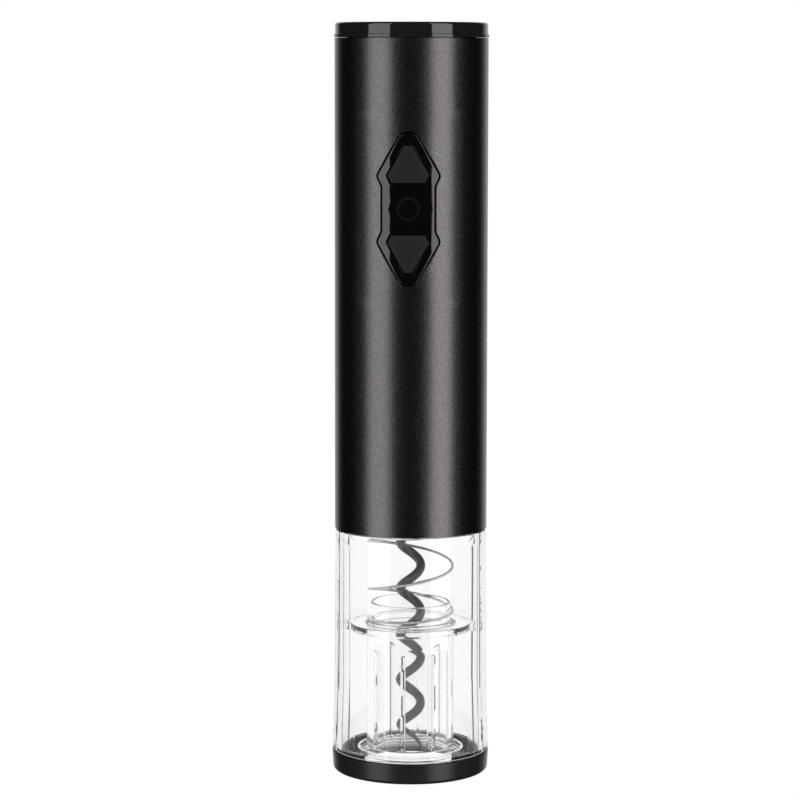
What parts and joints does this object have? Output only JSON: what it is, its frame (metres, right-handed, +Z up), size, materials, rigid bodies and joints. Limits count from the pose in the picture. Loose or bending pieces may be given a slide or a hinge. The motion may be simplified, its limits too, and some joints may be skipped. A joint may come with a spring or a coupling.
{
  "type": "electric wine opener",
  "caption": "Cylindrical battery wine opener with arrow-shaped switch, clear lower sleeve, driven worm and sprung cork sleeve.",
  "frame": {"origin": "centre of the base ring's underside, on the tube's axis", "axes": "+Z up along the tube's axis, -Y towards the switch, +X to the right seen from the front"},
  "size_m": [0.0498, 0.0498, 0.2365],
  "materials": {
    "anodised": "bead blasted, anodised black-brown",
    "gloss_black": "high gloss",
    "satin_black": "satin",
    "button_grey": "soft matte",
    "clear_plastic": "polished clear moulding",
    "spring_steel": "drawn wire",
    "coated_steel": "dark non-stick coating",
    "plated_steel": "zinc plated",
    "black_nylon": "moulded",
    "bronze": "sintered",
    "acetal": "moulded",
    "nickel": "nickel plated",
    "copper": "enamelled wire",
    "grey_abs": "moulded",
    "board_green": "solder mask",
    "cell_wrap": "printed sleeve, plain"
  },
  "bodies": {
    "housing": {"body_tube": "anodised", "switch_bezel": "gloss_black", "base_ring": "satin_black", "clear_shell": "clear_plastic", "coil_spring": "spring_steel", "spring_seat": "black_nylon", "output_bush": "bronze", "gearbox_housing": "black_nylon", "motor_can": "plated_steel", "motor_end_bell": "black_nylon", "motor_plate": "plated_steel", "motor_screw_1": "plated_steel", "motor_screw_2": "plated_steel", "chassis_back": "black_nylon", "chassis_front": "black_nylon", "battery_case": "grey_abs", "circuit_board": "board_green", "up_tact_switch": "black_nylon", "down_tact_switch": "black_nylon", "plus_terminal": "nickel", "minus_terminal": "nickel", "back_contact_left": "nickel", "back_contact_right": "nickel", "chassis_screw_1": "plated_steel", "cell_1": "cell_wrap", "chassis_screw_2": "plated_steel", "cell_2": "cell_wrap", "chassis_screw_3": "plated_steel", "cell_3": "cell_wrap", "chassis_screw_4": "plated_steel", "cell_4": "cell_wrap"},
    "worm": {"worm": "coated_steel", "worm_hub": "plated_steel", "hub_set_screw": "plated_steel", "output_carrier": "plated_steel"},
    "middle_carrier": {"middle_carrier": "acetal"},
    "input_carrier": {"input_carrier": "acetal"},
    "motor_rotor": {"motor_pinion": "nickel", "motor_shaft": "plated_steel", "motor_armature": "copper"},
    "cork_sleeve": {"cork_sleeve": "clear_plastic"},
    "up_button": {"up_button": "button_grey", "up_plunger": "black_nylon"},
    "down_button": {"down_button": "button_grey", "down_plunger": "black_nylon"},
    "contact_disc": {"cover_contact_disc": "black_nylon", "contact_rivet": "plated_steel", "left_contact_strip": "nickel", "right_contact_strip": "nickel"},
    "battery_cover": {"battery_cover": "gloss_black"},
    "output_planet_1": {"output_planet_1": "plated_steel"},
    "output_planet_2": {"output_planet_2": "plated_steel"},
    "output_planet_3": {"output_planet_3": "plated_steel"},
    "middle_planet_1": {"middle_planet_1": "acetal"},
    "middle_planet_2": {"middle_planet_2": "acetal"},
    "middle_planet_3": {"middle_planet_3": "acetal"},
    "input_planet_1": {"input_planet_1": "acetal"},
    "input_planet_2": {"input_planet_2": "acetal"},
    "input_planet_3": {"input_planet_3": "acetal"}
  },
  "joints": [
    {"name": "worm_spin", "type": "hinge", "parent": "housing", "child": "worm", "pos_m": [0, 0, 0.0998], "axis": [0, 0, 1], "continuous": true},
    {"name": "middle_carrier_spin", "type": "hinge", "parent": "housing", "child": "middle_carrier", "pos_m": [0, 0, 0.1174], "axis": [0, 0, 1], "continuous": true},
    {"name": "input_carrier_spin", "type": "hinge", "parent": "housing", "child": "input_carrier", "pos_m": [0, 0, 0.1243], "axis": [0, 0, 1], "continuous": true},
    {"name": "motor_spin", "type": "hinge", "parent": "housing", "child": "motor_rotor", "pos_m": [0, 0, 0.1334], "axis": [0, 0, 1], "continuous": true},
    {"name": "output_planet_1_spin", "type": "hinge", "parent": "worm", "child": "output_planet_1", "pos_m": [0.0081, 0, 0.1126], "axis": [0, 0, 1], "continuous": true},
    {"name": "output_planet_2_spin", "type": "hinge", "parent": "worm", "child": "output_planet_2", "pos_m": [-0.00405, 0.00701, 0.1126], "axis": [0, 0, 1], "continuous": true},
    {"name": "output_planet_3_spin", "type": "hinge", "parent": "worm", "child": "output_planet_3", "pos_m": [-0.00405, -0.00701, 0.1126], "axis": [0, 0, 1], "continuous": true},
    {"name": "middle_planet_1_spin", "type": "hinge", "parent": "middle_carrier", "child": "middle_planet_1", "pos_m": [0.0081, 0, 0.1195], "axis": [0, 0, 1], "continuous": true},
    {"name": "middle_planet_2_spin", "type": "hinge", "parent": "middle_carrier", "child": "middle_planet_2", "pos_m": [-0.00405, 0.00701, 0.1195], "axis": [0, 0, 1], "continuous": true},
    {"name": "middle_planet_3_spin", "type": "hinge", "parent": "middle_carrier", "child": "middle_planet_3", "pos_m": [-0.00405, -0.00701, 0.1195], "axis": [0, 0, 1], "continuous": true},
    {"name": "input_planet_1_spin", "type": "hinge", "parent": "input_carrier", "child": "input_planet_1", "pos_m": [0.0081, 0, 0.1264], "axis": [0, 0, 1], "continuous": true},
    {"name": "input_planet_2_spin", "type": "hinge", "parent": "input_carrier", "child": "input_planet_2", "pos_m": [-0.00405, 0.00701, 0.1264], "axis": [0, 0, 1], "continuous": true},
    {"name": "input_planet_3_spin", "type": "hinge", "parent": "input_carrier", "child": "input_planet_3", "pos_m": [-0.00405, -0.00701, 0.1264], "axis": [0, 0, 1], "continuous": true},
    {"name": "sleeve_slide", "type": "slide", "parent": "housing", "child": "cork_sleeve", "axis": [0, 0, 1], "range_m": [0, 0.045], "stiffness_N_per_m": 60, "springref_m": -0.02, "deforming": ["coil_spring"]},
    {"name": "up_button_press", "type": "slide", "parent": "housing", "child": "up_button", "axis": [0, 1, 0], "range_m": [0, 0.0005], "stiffness_N_per_m": 600, "springref_m": -0.001},
    {"name": "down_button_press", "type": "slide", "parent": "housing", "child": "down_button", "axis": [0, 1, 0], "range_m": [0, 0.0005], "stiffness_N_per_m": 600, "springref_m": -0.001},
    {"name": "cover_lift", "type": "slide", "parent": "housing", "child": "contact_disc", "axis": [0, 0, 1], "range_m": [0, 0.0076]},
    {"name": "cover_unscrew", "type": "hinge", "parent": "contact_disc", "child": "battery_cover", "pos_m": [0, 0, 0.232], "axis": [0, 0, 1], "range_deg": [0, 540]}
  ],
  "couplings": [
    {"joint": "middle_carrier_spin", "follows": "worm_spin", "ratio": 4.5},
    {"joint": "input_carrier_spin", "follows": "worm_spin", "ratio": 20.25},
    {"joint": "motor_spin", "follows": "worm_spin", "ratio": 91.125},
    {"joint": "output_planet_1_spin", "follows": "worm_spin", "ratio": -2.8},
    {"joint": "output_planet_2_spin", "follows": "worm_spin", "ratio": -2.8},
    {"joint": "output_planet_3_spin", "follows": "worm_spin", "ratio": -2.8},
    {"joint": "middle_planet_1_spin", "follows": "worm_spin", "ratio": -12.6},
    {"joint": "middle_planet_2_spin", "follows": "worm_spin", "ratio": -12.6},
    {"joint": "middle_planet_3_spin", "follows": "worm_spin", "ratio": -12.6},
    {"joint": "input_planet_1_spin", "follows": "worm_spin", "ratio": -56.7},
    {"joint": "input_planet_2_spin", "follows": "worm_spin", "ratio": -56.7},
    {"joint": "input_planet_3_spin", "follows": "worm_spin", "ratio": -56.7},
    {"joint": "cover_lift", "follows": "cover_unscrew", "m_per_rad": 0.00079577}
  ]
}
